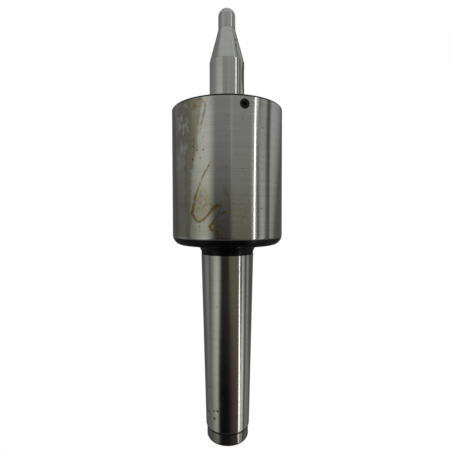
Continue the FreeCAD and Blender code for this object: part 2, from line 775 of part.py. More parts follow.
# A shallow relief ground with the rim of a wheel on one side of the cylinder, by the cone
relief_turn = Placement(Vector(0, 0, 0),
                        Rotation(Vector(0, 1, 0), value("relief_azimuth") - 90))
relief = new_sketch(spindle, "relief", "XZ_Plane", relief_turn)
draw_circle(relief, "point_radius - relief_depth + relief_wheel",
            f"{cone_base} - relief_drop", "relief_wheel")
relief_cut = cut_pocket(spindle, "relief_cut", relief, "4 * point_radius")
relief_cut.Midplane = True

doc.recompute()

# Check every feature, then write each piece to its own file

for item in doc.Objects:
    if "Invalid" in item.State or "Error" in item.State:
        raise RuntimeError(f"{item.Label} did not rebuild: {item.State}")

pieces = [item for item in doc.Objects
          if item.isDerivedFrom("PartDesign::Body") or item.isDerivedFrom("Part::Torus")]
os.makedirs("parts", exist_ok=True)
for piece in pieces:
    if piece.Shape.isNull() or not piece.Shape.isValid():
        raise RuntimeError(f"{piece.Label} has no valid shape")
    piece.Shape.exportStep(f"parts/{piece.Label}.step")
    box = piece.Shape.BoundBox
    print(f"{piece.Label:24s} {len(piece.Shape.Solids):3d} solids  {piece.Shape.Volume:10.1f} mm3"
          f"  r {box.XMax:6.2f}  z {box.ZMin:7.2f} to {box.ZMax:7.2f}")
print(len(pieces), "pieces")
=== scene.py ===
import json
import math

import bmesh
import bpy
import numpy as np
from mathutils import Matrix, Vector, noise


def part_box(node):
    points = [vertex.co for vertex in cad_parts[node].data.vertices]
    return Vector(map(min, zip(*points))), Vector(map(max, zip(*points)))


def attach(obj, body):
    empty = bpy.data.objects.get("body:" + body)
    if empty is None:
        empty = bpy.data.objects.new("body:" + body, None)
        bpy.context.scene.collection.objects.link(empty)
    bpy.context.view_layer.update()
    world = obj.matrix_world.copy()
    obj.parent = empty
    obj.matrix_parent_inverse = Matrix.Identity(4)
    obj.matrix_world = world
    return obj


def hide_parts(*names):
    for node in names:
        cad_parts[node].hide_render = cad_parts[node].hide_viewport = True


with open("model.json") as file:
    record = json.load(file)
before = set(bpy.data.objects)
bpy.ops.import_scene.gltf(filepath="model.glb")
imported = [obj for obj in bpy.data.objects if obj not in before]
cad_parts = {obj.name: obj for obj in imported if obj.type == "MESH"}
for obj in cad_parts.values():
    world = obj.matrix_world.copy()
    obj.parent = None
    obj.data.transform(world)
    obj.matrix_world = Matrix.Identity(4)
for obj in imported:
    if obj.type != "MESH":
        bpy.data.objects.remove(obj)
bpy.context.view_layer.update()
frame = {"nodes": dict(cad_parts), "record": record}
scene = bpy.context.scene
scene.view_settings.view_transform = "Standard"

# ---------------------------------------------------------------------------------------------
# Camera: close up, level with the body and looking down by less than two degrees, so that the
# front rim curves upwards and the rear corner curves downwards.

camera_data = bpy.data.cameras.new("camera")
camera_data.lens = 27.256
camera_data.sensor_width = 36.0
camera_data.clip_start = 0.01
camera_data.clip_end = 20.0
camera = bpy.data.objects.new("camera", camera_data)
scene.collection.objects.link(camera)
camera.location = (-0.00102, -0.158955, 0.022628)
camera.rotation_euler = (math.radians(90 - 1.801), math.radians(0.14), 0)
scene.camera = camera

# ---------------------------------------------------------------------------------------------
# Housing: body and Morse taper shank turned from one forging and ground all over outside, but
# left black from hardening in the rear corner, in the neck and on the front edge. Its bore is
# stepped for the bearings, and the cap's lock screw runs in through the wall near the front.

MM = 0.001


def new_tree(name, inputs):
    """An empty Geometry Nodes group with these named inputs. Returns it and their sockets."""
    tree = bpy.data.node_groups.new(name, "GeometryNodeTree")
    tree.interface.new_socket("Geometry", in_out="INPUT", socket_type="NodeSocketGeometry")
    sockets = {}
    for label, kind in inputs.items():
        sockets[label] = tree.interface.new_socket(label, in_out="INPUT", socket_type=kind)
    tree.interface.new_socket("Geometry", in_out="OUTPUT", socket_type="NodeSocketGeometry")
    return tree, sockets


def grow(start, tree, sockets, values):
    """Run a Geometry Nodes group on an object, and keep its result as a plain mesh object."""
    modifier = start.modifiers.new(tree.name, "NODES")
    modifier.node_group = tree
    for label, value in values.items():
        modifier[sockets[label].identifier] = value
    bpy.context.view_layer.update()
    whole = start.evaluated_get(bpy.context.evaluated_depsgraph_get())
    mesh = bpy.data.meshes.new_from_object(whole)
    name = start.name
    bpy.data.objects.remove(start)
    mesh.name = name
    piece = bpy.data.objects.new(name, mesh)
    scene.collection.objects.link(piece)
    return piece


# Outlines are swept round a small guide circle, and drawn that much nearer the axis.
guide_radius = 1.0

turning, turning_sockets = new_tree("turning", {"Steps Round": "NodeSocketInt",
                                                "Finish": "NodeSocketMaterial"})
nodes, links = turning.nodes, turning.links
entry = nodes.new("NodeGroupInput")
path = nodes.new("GeometryNodeCurvePrimitiveCircle")
path.inputs["Radius"].default_value = guide_radius * MM
links.new(entry.outputs["Steps Round"], path.inputs["Resolution"])
sweep = nodes.new("GeometryNodeCurveToMesh")
links.new(path.outputs["Curve"], sweep.inputs["Curve"])
links.new(entry.outputs["Geometry"], sweep.inputs["Profile Curve"])
close = nodes.new("GeometryNodeMergeByDistance")
close.inputs["Distance"].default_value = 0.001 * MM
links.new(sweep.outputs["Mesh"], close.inputs["Geometry"])
real = nodes.new("GeometryNodeRealizeInstances")
links.new(close.outputs["Geometry"], real.inputs["Geometry"])
coat = nodes.new("GeometryNodeSetMaterial")
links.new(real.outputs["Geometry"], coat.inputs["Geometry"])
links.new(entry.outputs["Finish"], coat.inputs["Material"])
links.new(coat.outputs["Geometry"], nodes.new("NodeGroupOutput").inputs["Geometry"])


def arc(centre, radius, first, last, steps):
    """Points of an arc in the (radius, height) plane, from one angle in degrees to another."""
    angles = np.radians(np.linspace(first, last, steps + 1))
    return [(centre[0] + radius * math.cos(a), centre[1] + radius * math.sin(a)) for a in angles]


def run(start, finish, steps):
    """Evenly spaced points of a straight stretch, without its last point."""
    shares = np.linspace(0, 1, steps, endpoint=False)
    return [tuple(np.array(start) * (1 - s) + np.array(finish) * s) for s in shares]


def settle(piece, sharp):
    """Bake a piece's modifiers into its mesh, and shade it smooth between its sharp edges."""
    bpy.context.view_layer.update()
    whole = piece.evaluated_get(bpy.context.evaluated_depsgraph_get())
    mesh = bpy.data.meshes.new_from_object(whole)
    piece.modifiers.clear()
    piece.data = mesh
    work = bmesh.new()
    work.from_mesh(mesh)
    bmesh.ops.recalc_face_normals(work, faces=work.faces)
    work.to_mesh(mesh)
    work.free()
    mesh.shade_smooth()
    mesh.set_sharp_from_angle(angle=math.radians(sharp))


def turn(name, outline, steps, finish, sharp=25):
    """Turn an outline of (radius, height) points, in millimetres, about the object's axis."""
    shape = bpy.data.curves.new(name, "CURVE")
    shape.dimensions = "2D"
    shape.fill_mode = "NONE"
    line = shape.splines.new("POLY")
    line.points.add(len(outline) - 1)
    for point, (radius, height) in zip(line.points, outline):
        point.co = ((radius - guide_radius) * MM, -height * MM, 0, 1)
    line.use_cyclic_u = outline[0][0] > 0
    start = bpy.data.objects.new(name, shape)
    scene.collection.objects.link(start)
    piece = grow(start, turning, turning_sockets, {"Steps Round": steps, "Finish": finish})
    settle(piece, sharp)
    return piece


def cut_away(piece, cutter, sharp):
    """Cut one object's shape out of a piece."""
    cut = piece.modifiers.new("cut", "BOOLEAN")
    cut.operation = "DIFFERENCE"
    cut.solver = "EXACT"
    cut.object = cutter
    settle(piece, sharp)
    bpy.data.objects.remove(cutter)


def rod(name, radius, start, finish, sides=96):
    """A plain round bar between two points, in metres, for cutting holes."""
    work = bmesh.new()
    bmesh.ops.create_cone(work, cap_ends=True, segments=sides, radius1=radius, radius2=radius,
                          depth=(finish - start).length)
    way = (finish - start).to_track_quat("Z", "Y").to_matrix().to_4x4()
    bmesh.ops.transform(work, matrix=Matrix.Translation((start + finish) / 2) @ way,
                        verts=work.verts)
    mesh = bpy.data.meshes.new(name)
    work.to_mesh(mesh)
    work.free()
    bar = bpy.data.objects.new(name, mesh)
    scene.collection.objects.link(bar)
    return bar


shank_low, front_high = (corner.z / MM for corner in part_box("housing"))
body_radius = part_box("housing")[1].x / MM
TAPER_RATE = 1 / 39.844
gage_radius = 11.9125
taper_top = 5.0
rear_face = 9.3
rear_round = 4.5
rear_corner = (body_radius - rear_round, rear_face + rear_round)
neck_radius = 11.95
neck_fillet = 4.1
step_height = shank_low + 6.2
end_radius = 9.58
taper_low_radius = gage_radius + step_height * TAPER_RATE
taper_high_radius = gage_radius + taper_top * TAPER_RATE
taper_edge = 0.45
front_edge = 0.45
end_round = 1.5
step_fillet = 0.12
end_hole_radius, end_hole_depth = 1.6, 8.2
end_hole_mouth, end_hole_cone = 4.0, 4.157
drill_point_below_hole = 0.8

steel = bpy.data.materials.new("housing_steel")
outline = [(0, shank_low + end_hole_depth + drill_point_below_hole)]
outline += [(end_hole_radius, shank_low + end_hole_depth)]
outline += [(end_hole_radius, shank_low + end_hole_cone), (end_hole_mouth, shank_low)]
outline += [(end_radius - end_round - 0.1, shank_low)]
outline += arc((end_radius - end_round, shank_low + end_round), end_round, -90, 0, 10)
outline += [(end_radius, shank_low + end_round + 0.2), (end_radius, step_height - 0.2)]
outline += arc((end_radius + step_fillet, step_height - step_fillet), step_fillet, 180, 90, 3)
outline += arc((taper_low_radius - taper_edge, step_height + taper_edge), taper_edge, -85, 0, 8)
outline += run((taper_low_radius, step_height + taper_edge + 0.2),
               (taper_high_radius, taper_top - 0.1), 8)
outline += [(taper_high_radius, taper_top - 0.1), (neck_radius, taper_top)]
outline += run((neck_radius, taper_top + 0.1), (neck_radius, rear_face - neck_fillet), 2)
outline += arc((neck_radius + neck_fillet, rear_face - neck_fillet), neck_fillet, 180, 90, 12)
outline += [(neck_radius + neck_fillet + 0.2, rear_face), (rear_corner[0] - 0.2, rear_face)]
outline += arc(rear_corner, rear_round, -90, 0, 22)
outline += run((body_radius, rear_corner[1] + 0.3), (body_radius, front_high - front_edge), 140)
outline += [(body_radius, front_high - front_edge), (body_radius - front_edge, front_high)]

# The stepped bore: the cap's thread, the outer rings, the thrust washers, the needle bearing
# with its snap ring groove, and room for the spindle's tail.
cap_bore, cap_depth = 21.0, 6.0
ring_bore, ring_shoulder = 20.0, 36.7
shoulder_bore, washer_shoulder = 17.0, 22.7
washer_bore, washer_floor = 14.0, 18.5
needle_bore, needle_floor, needle_edge = 9.0, -8.0, 0.5
groove_radius, groove_low, groove_high = 9.5, 4.0, 5.1
tail_bore, tail_floor, drill_point = 7.0, -11.0, -15.0
outline += [(cap_bore + front_edge, front_high), (cap_bore, front_high - front_edge)]
outline += [(cap_bore, front_high - cap_depth), (ring_bore, front_high - cap_depth)]
outline += [(ring_bore, ring_shoulder), (shoulder_bore, ring_shoulder)]
outline += [(shoulder_bore, washer_shoulder), (washer_bore, washer_shoulder)]
outline += [(washer_bore, washer_floor), (needle_bore + needle_edge, washer_floor)]
outline += [(needle_bore, washer_floor - needle_edge), (needle_bore, groove_high)]
outline += [(groove_radius, groove_high), (groove_radius, groove_low)]
outline += [(needle_bore, groove_low), (needle_bore, needle_floor)]
outline += [(tail_bore, needle_floor), (tail_bore, tail_floor), (0, drill_point)]
housing = turn("housing_body", outline, 400, steel)

screw_azimuth = math.radians(15.8)
screw_height = 66.15
screw_hole_radius, hole_inside, hole_outside = 0.002, 0.0195, 0.026
screw_way = Vector((math.sin(screw_azimuth), -math.cos(screw_azimuth), 0))
screw_level = Vector((0, 0, screw_height * MM))
cut_away(housing, rod("screw_hole", screw_hole_radius, screw_way * hole_inside + screw_level,
                      screw_way * hole_outside + screw_level), sharp=25)
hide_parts("housing")
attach(housing, "housing")

# Use has marked the housing, and the marks are painted on its own points: rims where coolant
# dried, the brown film that it left, paler islands in the film, and a rusty bloom low in front.
# Each trace is (millimetres round the surface, height, half width, strength).


def surface_places(piece):
    """For each point of a turned piece: azimuth in degrees, height and radius in mm."""
    points = np.zeros(len(piece.data.vertices) * 3)
    piece.data.vertices.foreach_get("co", points)
    points = points.reshape(-1, 3) / MM
    azimuth = np.degrees(np.arctan2(points[:, 0], -points[:, 1]))
    return azimuth, points[:, 2], np.hypot(points[:, 0], points[:, 1])


def flowing(trace, steps=8):
    """A flowing line through given points."""
    trace = np.array(trace, float)
    ends = np.vstack([2 * trace[0] - trace[1], trace, 2 * trace[-1] - trace[-2]])
    line = []
    for a, b, c, d in zip(ends, ends[1:], ends[2:], ends[3:]):
        for t in np.linspace(0, 1, steps, endpoint=False):
            line.append(0.5 * (2 * b + (c - a) * t + (2 * a - 5 * b + 4 * c - d) * t ** 2
                               + (3 * b - a - 3 * c + d) * t ** 3))
    return np.array(line + [trace[-1]])


def drawn(places, trace):
    """How strongly a trace marks each place: its strength on the line, 0 past its width."""
    line = flowing(trace)
    mark = np.zeros(len(places))
    for start, finish in zip(line, line[1:]):
        way = finish[:2] - start[:2]
        share = np.clip(((places - start[:2]) @ way) / max(way @ way, 1e-9), 0, 1)
        off = np.linalg.norm(places - start[:2] - share[:, None] * way, axis=1)
        width = start[2] + (finish[2] - start[2]) * share
        force = start[3] + (finish[3] - start[3]) * share
        mark = np.maximum(mark, force * np.clip(1.7 * (1 - off / (1.12 * width)), 0, 1))
    return mark


def blot(places, across, level, width, tall):
    """A soft oval patch."""
    off = np.hypot((places[:, 0] - across) / width, (places[:, 1] - level) / tall)
    share = np.clip(1.5 * (1 - off), 0, 1)
    return share ** 2 * (3 - 2 * share)


def between(values, low, high, soft):
    """1 from low to high, falling to 0 over a soft edge outside each side."""
    share = np.clip(np.minimum(values - low, high - values) / soft + 1, 0, 1)
    return share ** 2 * (3 - 2 * share)


def paint(piece, name, values, where):
    """Keep one number for each point of the piece, for its material to read."""
    attribute = piece.data.attributes.new(name, "FLOAT", "POINT")
    values = np.where(where, np.clip(values, 0, 1), 0)
    attribute.data.foreach_set("value", values.astype(np.float32))


def wander(across, level, scale, depth):
    """Cloudy variation about 0 over the surface, of a size in mm."""
    return np.array([noise.fractal(Vector((a / scale, z / scale, depth)), 0.9, 2.0, 4)
                     for a, z in zip(across, level)])


azimuth, height, radius = surface_places(housing)
ground = (radius > body_radius - 0.01) & (height > rear_corner[1] - 0.1)
across = np.radians(azimuth) * body_radius
fine, broad = np.zeros(len(across)), np.zeros(len(across))
fine[ground] = wander(across[ground], height[ground], 1.3, 3.1)
broad[ground] = wander(across[ground], height[ground], 5.0, 8.7)
places = np.stack([across + 0.22 * fine, height + 0.25 * broad], 1)

traces = [
    # The long drop: down its left side, round its foot and up again
    [(-6.6, 44.0, 0.35, 0.25), (-7.3, 42.3, 0.4, 0.55), (-8.7, 40.1, 0.4, 0.6),
     (-10.0, 37.9, 0.45, 0.5), (-11.1, 35.6, 0.4, 0.55), (-12.1, 33.4, 0.4, 0.6),
     (-12.9, 31.4, 0.5, 0.7), (-13.6, 29.7, 0.7, 0.75), (-14.0, 28.1, 0.8, 0.8),
     (-14.5, 26.4, 0.8, 0.9), (-14.9, 24.7, 0.85, 1.0), (-15.2, 23.2, 0.85, 1.2),
     (-14.0, 21.7, 0.65, 0.9), (-12.8, 20.4, 0.55, 0.85), (-11.6, 20.1, 0.6, 0.9),
     (-10.3, 20.6, 0.55, 0.85), (-9.0, 21.6, 0.6, 0.8), (-7.7, 23.0, 0.7, 0.8),
     (-6.5, 24.5, 0.8, 0.8), (-5.3, 25.7, 0.8, 0.7), (-4.1, 26.3, 0.7, 0.75),
     (-2.8, 26.2, 0.7, 0.6)],
    # The hook that hangs from it, down to the rear corner
    [(-2.8, 26.4, 0.6, 0.5), (-3.3, 24.4, 0.6, 0.4), (-3.8, 22.4, 0.5, 0.5),
     (-5.0, 21.2, 0.5, 0.65), (-5.9, 19.8, 0.55, 0.75), (-7.1, 18.1, 0.6, 0.95),
     (-6.6, 17.1, 0.6, 0.9), (-5.2, 16.5, 0.5, 0.8), (-4.0, 16.1, 0.5, 0.8),
     (-3.9, 14.9, 0.5, 0.75), (-4.0, 12.9, 0.5, 0.7)],
    # Two short pieces beside them
    [(-7.9, 27.4, 0.35, 0.5), (-6.4, 26.7, 0.5, 0.6), (-5.6, 25.5, 0.5, 0.5)],
    [(-2.6, 23.6, 0.6, 0.7), (-0.5, 23.9, 0.5, 0.6)],
    # A faint line down the front
    [(-1.5, 34.1, 0.7, 0.15), (-0.7, 32.2, 0.7, 0.3), (0.1, 29.9, 0.7, 0.35),
     (0.6, 27.9, 0.6, 0.3), (0.8, 26.0, 0.6, 0.3), (0.9, 23.4, 0.6, 0.25),
     (0.4, 20.8, 0.6, 0.2)],
    # The edge of the film below the front edge
    [(-15.6, 67.0, 0.4, 0.2), (-14.3, 67.7, 0.5, 0.35), (-11.6, 68.4, 0.45, 0.35),
     (-9.6, 67.2, 0.45, 0.4), (-8.8, 65.8, 0.5, 0.35), (-9.1, 64.0, 0.5, 0.35),
     (-9.6, 62.0, 0.6, 0.4), (-10.3, 59.9, 0.6, 0.35), (-10.8, 57.9, 0.5, 0.25),
     (-11.5, 54.5, 0.5, 0.1)],
    # Two faint runs down the left
    [(-14.5, 57.5, 0.5, 0.15), (-14.2, 53.0, 0.5, 0.4), (-14.1, 48.7, 0.5, 0.45),
     (-14.6, 45.0, 0.5, 0.35), (-15.6, 41.0, 0.5, 0.1)],
    [(-18.7, 52.0, 0.5, 0.15), (-18.8, 47.0, 0.5, 0.3), (-18.9, 41.5, 0.6, 0.3),
     (-18.6, 36.0, 0.5, 0.15)],
]
rim = np.zeros(len(across))
for trace in traces:
    rim = np.maximum(rim, drawn(places, trace))
rim = np.maximum(rim, 0.45 * blot(places, -13.8, 65.7, 1.5, 1.7))
rim = np.maximum(rim, 0.32 * blot(places, -10.6, 27.0, 5.2, 8.5))
paint(housing, "coolant_rim", rim * (1.3 + fine), ground)

film_edge = across + 1.2 * broad + 0.5 * fine
film = 0.80 * between(film_edge, -24.5, -11.0 - 0.14 * (66 - height).clip(0, 20), 1.4)
film *= between(height + 2 * broad, 50, 68.6, 7)
film = np.maximum(film, 0.75 * between(film_edge, -18.9, -14.6, 1.0)
                  * between(height + broad, 43, 60, 3))
film = np.maximum(film, 0.70 * between(film_edge, -19.0, -16.6, 1.2)
                  * between(height, 12, 45, 4))
film = np.maximum(film, 0.50 * between(film_edge, -28.0, -18.5, 2.0)
                  * between(height, 10, 36, 14))
film = np.maximum(film, 0.30 * between(film_edge, -34.0, -19.0, 2.0))
film *= 1.0 + 0.16 * fine + 0.22 * broad
islands = between(film_edge, -24.0, -17.6, 1.0) * between(height, 50, 67, 3)
islands *= np.clip(3.2 * wander(across, height * 0.55, 2.6, 21.0) - 0.15, 0, 1)
film = film * (1 - 0.85 * islands)
paint(housing, "brown_film", film, ground)
paint(housing, "pale_island", islands, ground)

bloom = 0.32 * between(across + broad, -4.5, 9.0, 3.5) * between(height + 2 * broad, 8, 26, 9)
bloom *= 1.0 + 0.6 * fine
for spot in ((0.7, 20.0, 0.5), (1.9, 16.8, 0.8), (1.1, 14.6, 0.9), (7.7, 14.4, 0.8),
             (-0.5, 17.6, 0.7), (-8.3, 30.2, 1.2), (-7.2, 28.6, 0.9), (3.0, 14.2, 0.8)):
    bloom = np.maximum(bloom, 0.75 * blot(places, spot[0], spot[1], spot[2], spot[2]))
paint(housing, "rusty_bloom", bloom, ground)


def calculate(material, operation, first, second):
    """One sum on two sockets or numbers."""
    node = material.node_tree.nodes.new("ShaderNodeMath")
    node.operation = operation
    for socket, value in zip(node.inputs, (first, second)):
        if isinstance(value, (int, float)):
            socket.default_value = value
        else:
            material.node_tree.links.new(value, socket)
    return node.outputs[0]


def spread(material, value, low, high, least, most, smooth=False):
    """Map a value's range onto another."""
    node = material.node_tree.nodes.new("ShaderNodeMapRange")
    node.interpolation_type = "SMOOTHSTEP" if smooth else "LINEAR"
    node.inputs["From Min"].default_value = low
    node.inputs["From Max"].default_value = high
    node.inputs["To Min"].default_value = least
    node.inputs["To Max"].default_value = most
    material.node_tree.links.new(value, node.inputs["Value"])
    return node.outputs["Result"]


def band(material, value, low, high, soft):
    """1 where a value lies between low and high, with a soft step at each end."""
    rise = spread(material, value, low - soft, low + soft, 0, 1, True)
    fall = spread(material, value, high - soft, high + soft, 1, 0, True)
    return calculate(material, "MINIMUM", rise, fall)


def lay_colour(material, base, mark, share, colour):
    """Lay a share of a colour over another where a mark is 1. Returns the mixed colour."""
    mix = material.node_tree.nodes.new("ShaderNodeMix")
    mix.data_type = "RGBA"
    mix.inputs["B"].default_value = (*colour, 1)
    material.node_tree.links.new(calculate(material, "MULTIPLY", mark, share),
                                 mix.inputs["Factor"])
    material.node_tree.links.new(base, mix.inputs["A"])
    return mix.outputs["Result"]


def painted(material, name):
    """The number painted on the piece's own points under this name."""
    node = material.node_tree.nodes.new("ShaderNodeAttribute")
    node.attribute_name = name
    return node.outputs["Fac"]


def cloudy(material, place, scale, detail=5.0):
    """Noise of a size over the piece. The scale is a number, or one for each direction."""
    mapping = material.node_tree.nodes.new("ShaderNodeMapping")
    mapping.inputs["Scale"].default_value = scale if isinstance(scale, tuple) else (scale,) * 3
    material.node_tree.links.new(place, mapping.inputs["Vector"])
    node = material.node_tree.nodes.new("ShaderNodeTexNoise")
    node.inputs["Scale"].default_value = 1.0
    node.inputs["Detail"].default_value = detail
    material.node_tree.links.new(mapping.outputs["Vector"], node.inputs["Vector"])
    return node.outputs["Fac"]


def spots(material, place, marks):
    """Small round marks: each is (azimuth in degrees, height, surface radius, size), in mm."""
    total = None
    for turned, level, surface, size in marks:
        way = math.radians(turned)
        far = material.node_tree.nodes.new("ShaderNodeVectorMath")
        far.operation = "DISTANCE"
        far.inputs[1].default_value = Vector((surface * math.sin(way), -surface * math.cos(way),
                                              level)) * MM
        material.node_tree.links.new(place, far.inputs[0])
        dot = spread(material, far.outputs["Value"], 0.5 * size * MM, 1.1 * size * MM, 1, 0, True)
        total = dot if total is None else calculate(material, "MAXIMUM", total, dot)
    return total


def ground_bar(material, colour, roughness, streaks, bump):
    """Steel ground between centres: fine lines run round it and drag the light lengthwise.
    Returns its place, colour and roughness, for marks to be laid over."""
    material.use_nodes = True
    nodes = material.node_tree.nodes
    links = material.node_tree.links
    shader = nodes["Principled BSDF"]
    shader.inputs["Metallic"].default_value = 1.0
    shader.inputs["Anisotropic"].default_value = 0.95
    shader.inputs["Anisotropic Rotation"].default_value = 0.25
    tangent = nodes.new("ShaderNodeTangent")
    tangent.direction_type = "RADIAL"
    tangent.axis = "Z"
    links.new(tangent.outputs["Tangent"], shader.inputs["Tangent"])
    place = nodes.new("ShaderNodeTexCoord").outputs["Object"]
    lay = cloudy(material, place, (6, 6, 1700), 4.0)
    passes = cloudy(material, place, (9, 9, 420), 2.0)
    both = calculate(material, "ADD", calculate(material, "MULTIPLY", lay, 0.6),
                     calculate(material, "MULTIPLY", passes, 0.4))
    tone = nodes.new("ShaderNodeMix")
    tone.data_type = "RGBA"
    tone.blend_type = "MULTIPLY"
    tone.inputs["Factor"].default_value = 1.0
    tone.inputs["A"].default_value = (*colour, 1)
    links.new(spread(material, both, 0.35, 0.65, 1 - streaks, 1 + streaks), tone.inputs["B"])
    dull = spread(material, cloudy(material, place, 110), 0.35, 0.7, roughness * 0.9,
                  roughness * 1.15)
    relief = nodes.new("ShaderNodeBump")
    relief.inputs["Strength"].default_value = bump
    relief.inputs["Distance"].default_value = 0.002 * MM
    links.new(both, relief.inputs["Height"])
    links.new(relief.outputs["Normal"], shader.inputs["Normal"])
    return place, tone.outputs["Result"], dull


place, colour, dull = ground_bar(steel, (0.62, 0.635, 0.575), roughness=0.145, streaks=0.07,
                                 bump=0.4)
shader = steel.node_tree.nodes["Principled BSDF"]
shader.inputs["Specular IOR Level"].default_value = 0.3
split = steel.node_tree.nodes.new("ShaderNodeSeparateXYZ")
steel.node_tree.links.new(place, split.inputs["Vector"])
level = split.outputs["Z"]
grime = cloudy(steel, place, 1300, 3.0)
mottle = spread(steel, grime, 0.35, 0.65, 0.88, 1.08)
film = calculate(steel, "MULTIPLY", painted(steel, "brown_film"), mottle)
rims = calculate(steel, "MULTIPLY", painted(steel, "coolant_rim"), mottle)
bloom = calculate(steel, "MULTIPLY", painted(steel, "rusty_bloom"),
                  spread(steel, grime, 0.40, 0.62, 0.2, 1.3))
colour = lay_colour(steel, colour, film, 0.95, (0.345, 0.315, 0.215))
colour = lay_colour(steel, colour, painted(steel, "pale_island"), 0.35, (0.70, 0.74, 0.74))
colour = lay_colour(steel, colour, bloom, 0.5, (0.36, 0.22, 0.12))
colour = lay_colour(steel, colour, rims, 0.97, (0.30, 0.19, 0.008))
pits = spots(steel, place, [(-29.1, 48.5, 25, 0.38), (-22.4, 48.5, 25, 0.38),
                            (-25.7, 45.3, 25, 0.3), (-33.9, 45.2, 25, 0.36),
                            (34.8, 57.6, 25, 0.28), (54.8, 54.3, 25, 0.3),
                            (61.7, 47.8, 25, 0.3), (33.2, 25.3, 25, 0.3),
                            (14.2, 21.7, 25, 0.26), (-26.6, 18.2, 25, 0.3)])
colour = lay_colour(steel, colour, pits, 0.95, (0.05, 0.03, 0.015))
freckles = spread(steel, cloudy(steel, place, 1100, 2.0), 0.66, 0.74, 0, 1)
colour = lay_colour(steel, colour, freckles, 0.45, (0.14, 0.10, 0.06))
rust = spots(steel, place, [(-50.6, -54.8, 10.54, 0.5), (-61.8, -66.6, 10.24, 0.6),
                            (-54.4, -66.6, 10.24, 0.5), (-36.7, -65.1, 10.28, 0.5),
                            (-26.2, -64.6, 10.29, 0.65), (-35.8, -68.5, 10.19, 0.75)])
colour = lay_colour(steel, colour, rust, 1.0, (0.16, 0.065, 0.006))
end = band(steel, level, -1, step_height * MM, 0.05 * MM)
colour = lay_colour(steel, colour, end, 0.60, (0.13, 0.125, 0.10))
black_top, black_fade = 12.85, 0.4
black_high = spread(steel, level, (black_top - black_fade) * MM, (black_top + black_fade) * MM,
                    1, 0, True)
black_low = spread(steel, level, (taper_top - 0.08) * MM, (taper_top - 0.02) * MM, 0, 1)
black = calculate(steel, "MULTIPLY", black_high, black_low)
front = spread(steel, level, (front_high - 0.80) * MM, (front_high - 0.66) * MM, 0, 1, True)
black = calculate(steel, "MAXIMUM", black, front)
# Painted shade: a black band at the foot of the taper. It is partly the unground black of the
# step, and partly painted shade on the step's underside and on the end just below it.
step_black_and_shade = band(steel, level, (step_height - 0.70) * MM, (step_height + 0.05) * MM, 0.05 * MM)
black = calculate(steel, "MAXIMUM", black, step_black_and_shade)
# This lays the hardening black, together with the painted shade under the taper's step, over the
# steel.
colour = lay_colour(steel, colour, black, 1.0, (0.0012, 0.0022, 0.0030))
steel.node_tree.links.new(colour, shader.inputs["Base Color"])
steel.node_tree.links.new(calculate(steel, "SUBTRACT", 1.0, black), shader.inputs["Metallic"])
for mark, share in ((black, 0.20), (film, 0.10), (rims, 0.12), (end, 0.05)):
    dull = calculate(steel, "ADD", dull, calculate(steel, "MULTIPLY", mark, share))
steel.node_tree.links.new(dull, shader.inputs["Roughness"])

# ---------------------------------------------------------------------------------------------
# Spindle and point: one hardened bar, ground finer than the housing, with a long cone and a
# round-ended nose in front. A shallow relief is ground into one side of its cylinder.

point_radius = 7.9375
nose_radius, nose_length = 3.9, 5.75
cone_length = 14.95
tail_radius, turned_edge = 6.0, 0.5
thrust_seat, thrust_seat_low = 7.5, 17.4
ring_seat, ring_seat_low = 8.5, 30.7
flange_radius, flange_low, flange_high = 11.5, 60.7, 63.1
tail, tip = (corner.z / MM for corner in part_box("spindle_point"))
nose_foot = tip - nose_radius - nose_length
cone_foot = nose_foot - cone_length
hard = bpy.data.materials.new("point_steel")
outline = [(0, tail), (tail_radius - turned_edge, tail), (tail_radius, tail + turned_edge)]
outline += [(tail_radius, thrust_seat_low), (thrust_seat, thrust_seat_low)]
outline += [(thrust_seat, ring_seat_low), (ring_seat, ring_seat_low)]
outline += [(ring_seat, flange_low), (flange_radius, flange_low)]
outline += [(flange_radius, flange_high - turned_edge)]
outline += [(flange_radius - turned_edge, flange_high), (point_radius, flange_high)]
outline += run((point_radius, flange_high + 0.2), (point_radius, cone_foot - 0.05), 40)
outline += run((point_radius, cone_foot), (nose_radius, nose_foot), 24)
outline += run((nose_radius, nose_foot), (nose_radius, tip - nose_radius), 12)
outline += arc((0, tip - nose_radius), nose_radius, 0, 90, 24)[:-1] + [(0, tip)]
spindle = turn("spindle_bar", outline, 320, hard, sharp=8)

relief_depth, relief_drop = 0.5, 7.0
wheel_radius, wheel_half_width = 56, 0.01
relief_azimuth = math.radians(75)
relief_way = Vector((math.sin(relief_azimuth), -math.cos(relief_azimuth), 0))
relief_side = Vector((0, 0, 1)).cross(relief_way)
wheel_off = (point_radius - relief_depth + wheel_radius) * MM
wheel_level = (cone_foot - relief_drop) * MM
wheel_centre = relief_way * wheel_off + Vector((0, 0, wheel_level))
cut_away(spindle, rod("relief_wheel", wheel_radius * MM,
                      wheel_centre - relief_side * wheel_half_width,
                      wheel_centre + relief_side * wheel_half_width, sides=720), sharp=8)
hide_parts("spindle_point")
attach(spindle, "spindle")

place, colour, dull = ground_bar(hard, (0.67, 0.685, 0.635), roughness=0.12, streaks=0.05,
                                 bump=0.05)
shader = hard.node_tree.nodes["Principled BSDF"]
split = hard.node_tree.nodes.new("ShaderNodeSeparateXYZ")
hard.node_tree.links.new(place, split.inputs["Vector"])
level = split.outputs["Z"]

